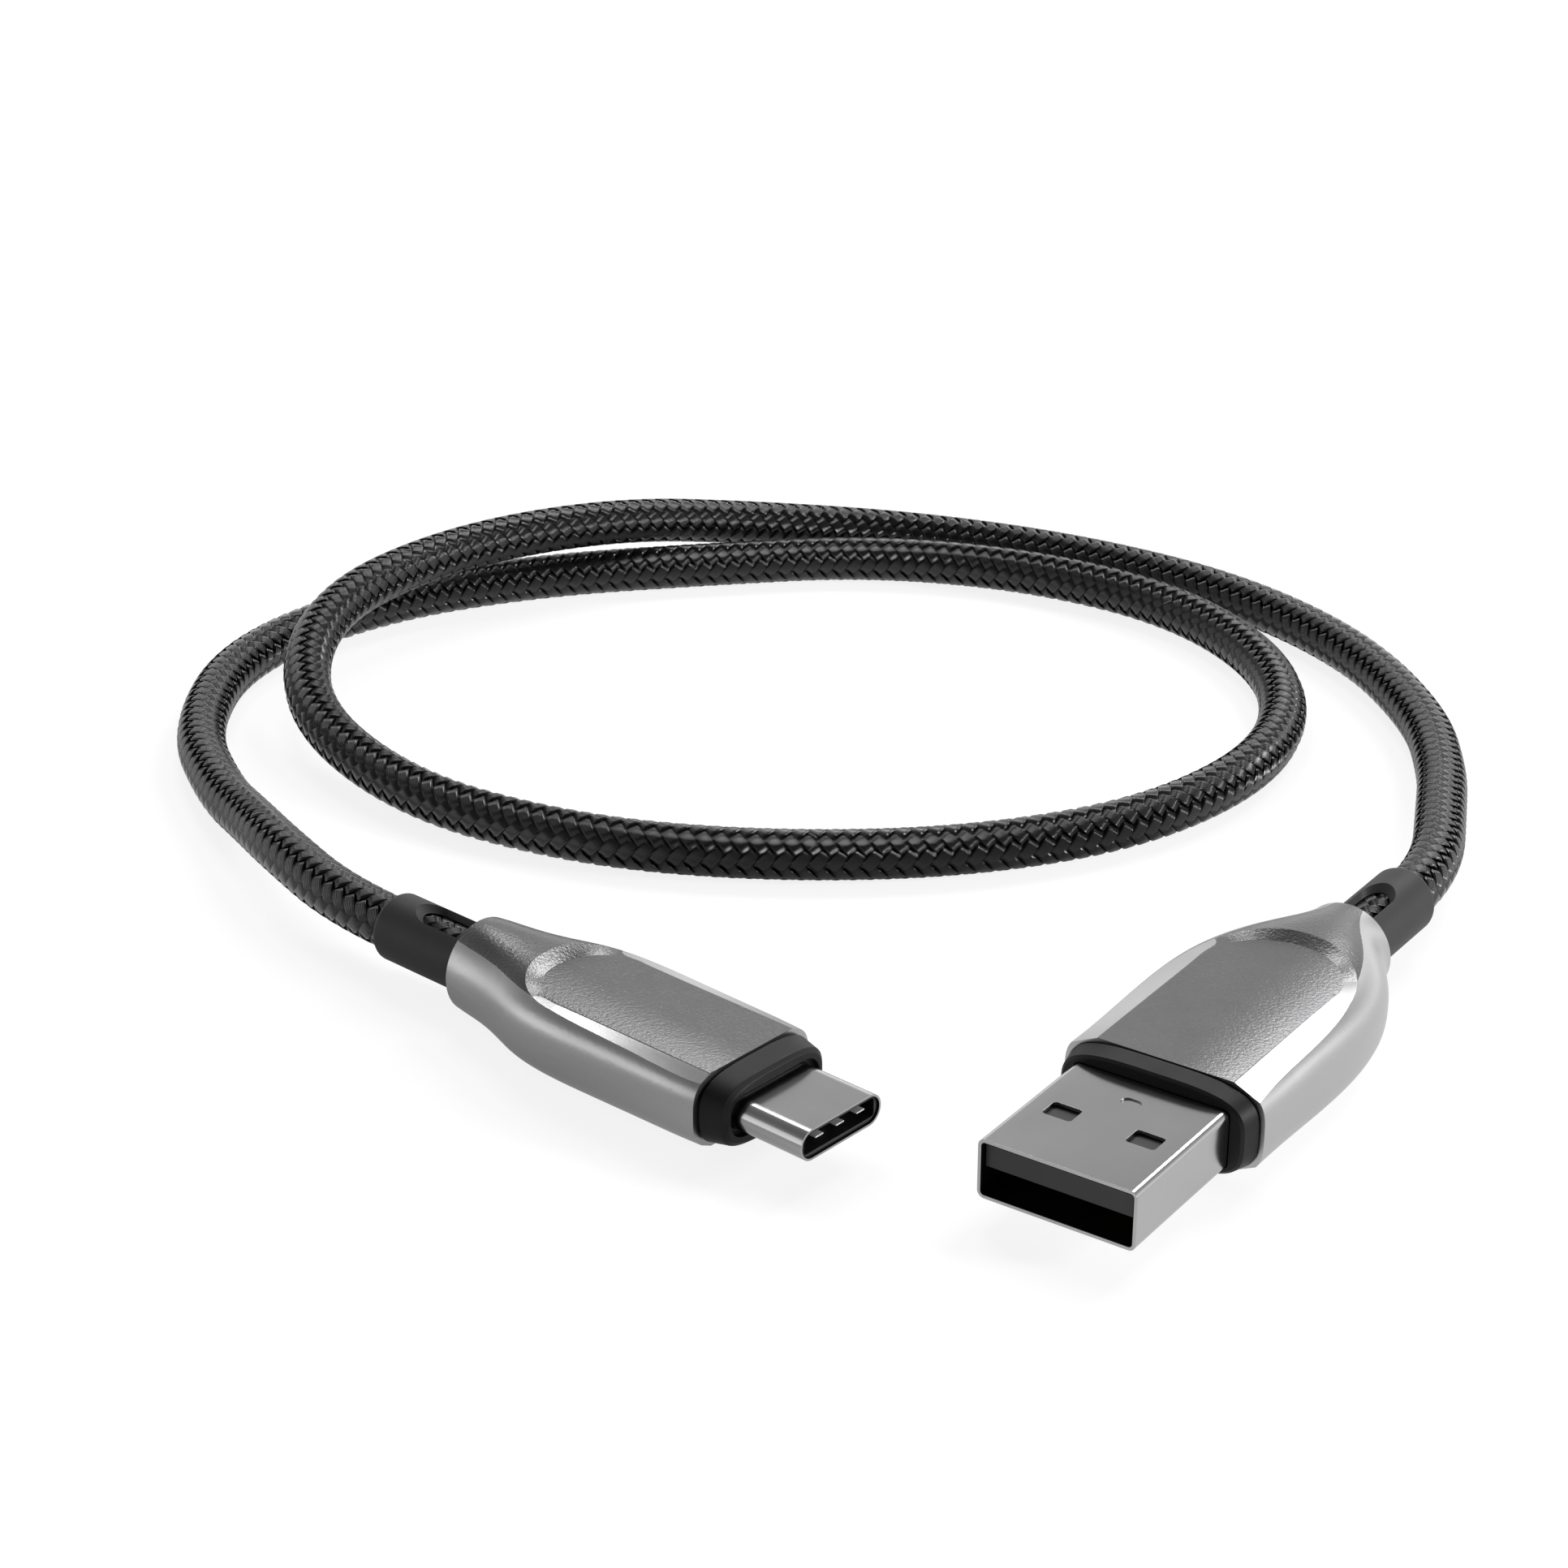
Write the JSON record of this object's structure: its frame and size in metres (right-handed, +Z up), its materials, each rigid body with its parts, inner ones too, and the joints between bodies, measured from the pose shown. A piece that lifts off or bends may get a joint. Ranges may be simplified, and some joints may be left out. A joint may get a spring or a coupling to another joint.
{
  "type": "braided charging cable",
  "caption": "Charging cable: a wide rectangular plug and a slim oval plug, both in tapered metal housings with short boots, joined by a loose loop of round braided cord.",
  "frame": {"origin": "on the table, below the middle of the box round the two plugs and their boots", "axes": "+X to the right in the picture, from the slim plug to the wide plug; +Y away from the plug tips, towards the loop of cord; +Z up"},
  "size_m": [0.1093, 0.129, 0.0089],
  "materials": {
    "connector_steel": "polished, nickel plated",
    "connector_plastic": "moulded, satin",
    "contact_gold": "gold plated",
    "spring_steel": "stamped",
    "board_resin": "lacquered",
    "resistor_ceramic": "matt",
    "collar_plastic": "satin black",
    "housing_metal": "fine blasted, anodised grey",
    "mould_plastic": "natural, moulded",
    "crimp_metal": "crimped",
    "boot_plastic": "matt dark grey",
    "braid": "tight glossy black braid",
    "wire_red": "extruded",
    "wire_white": "extruded",
    "wire_green": "extruded",
    "wire_black": "extruded"
  },
  "bodies": {
    "root": {"charger_plug_shell": "connector_steel", "charger_plug_insulator": "connector_plastic", "charger_plug_contact_power": "contact_gold", "charger_plug_contact_data_minus": "contact_gold", "charger_plug_contact_data_plus": "contact_gold", "charger_plug_contact_ground": "contact_gold", "charger_plug_collar": "collar_plastic", "charger_plug_housing": "housing_metal", "charger_plug_inner_mould": "mould_plastic", "charger_plug_crimp": "crimp_metal", "charger_plug_boot": "boot_plastic", "charger_plug_cord_end": "braid", "charger_plug_wire_power": "wire_red", "charger_plug_wire_data_minus": "wire_white", "charger_plug_wire_data_plus": "wire_green", "charger_plug_wire_ground": "wire_black", "phone_plug_shell": "connector_steel", "phone_plug_insulator": "connector_plastic", "phone_plug_upper_contacts": "contact_gold", "phone_plug_lower_contacts": "contact_gold", "phone_plug_upper_spring": "spring_steel", "phone_plug_lower_spring": "spring_steel", "phone_plug_side_latch": "spring_steel", "phone_plug_circuit_board": "board_resin", "phone_plug_resistor": "resistor_ceramic", "phone_plug_collar": "collar_plastic", "phone_plug_housing": "housing_metal", "phone_plug_inner_mould": "mould_plastic", "phone_plug_crimp": "crimp_metal", "phone_plug_boot": "boot_plastic", "phone_plug_cord_end": "braid", "phone_plug_wire_power": "wire_red", "phone_plug_wire_data_minus": "wire_white", "phone_plug_wire_data_plus": "wire_green", "phone_plug_wire_ground": "wire_black", "braided_cord": "braid"}
  },
  "joints": []
}
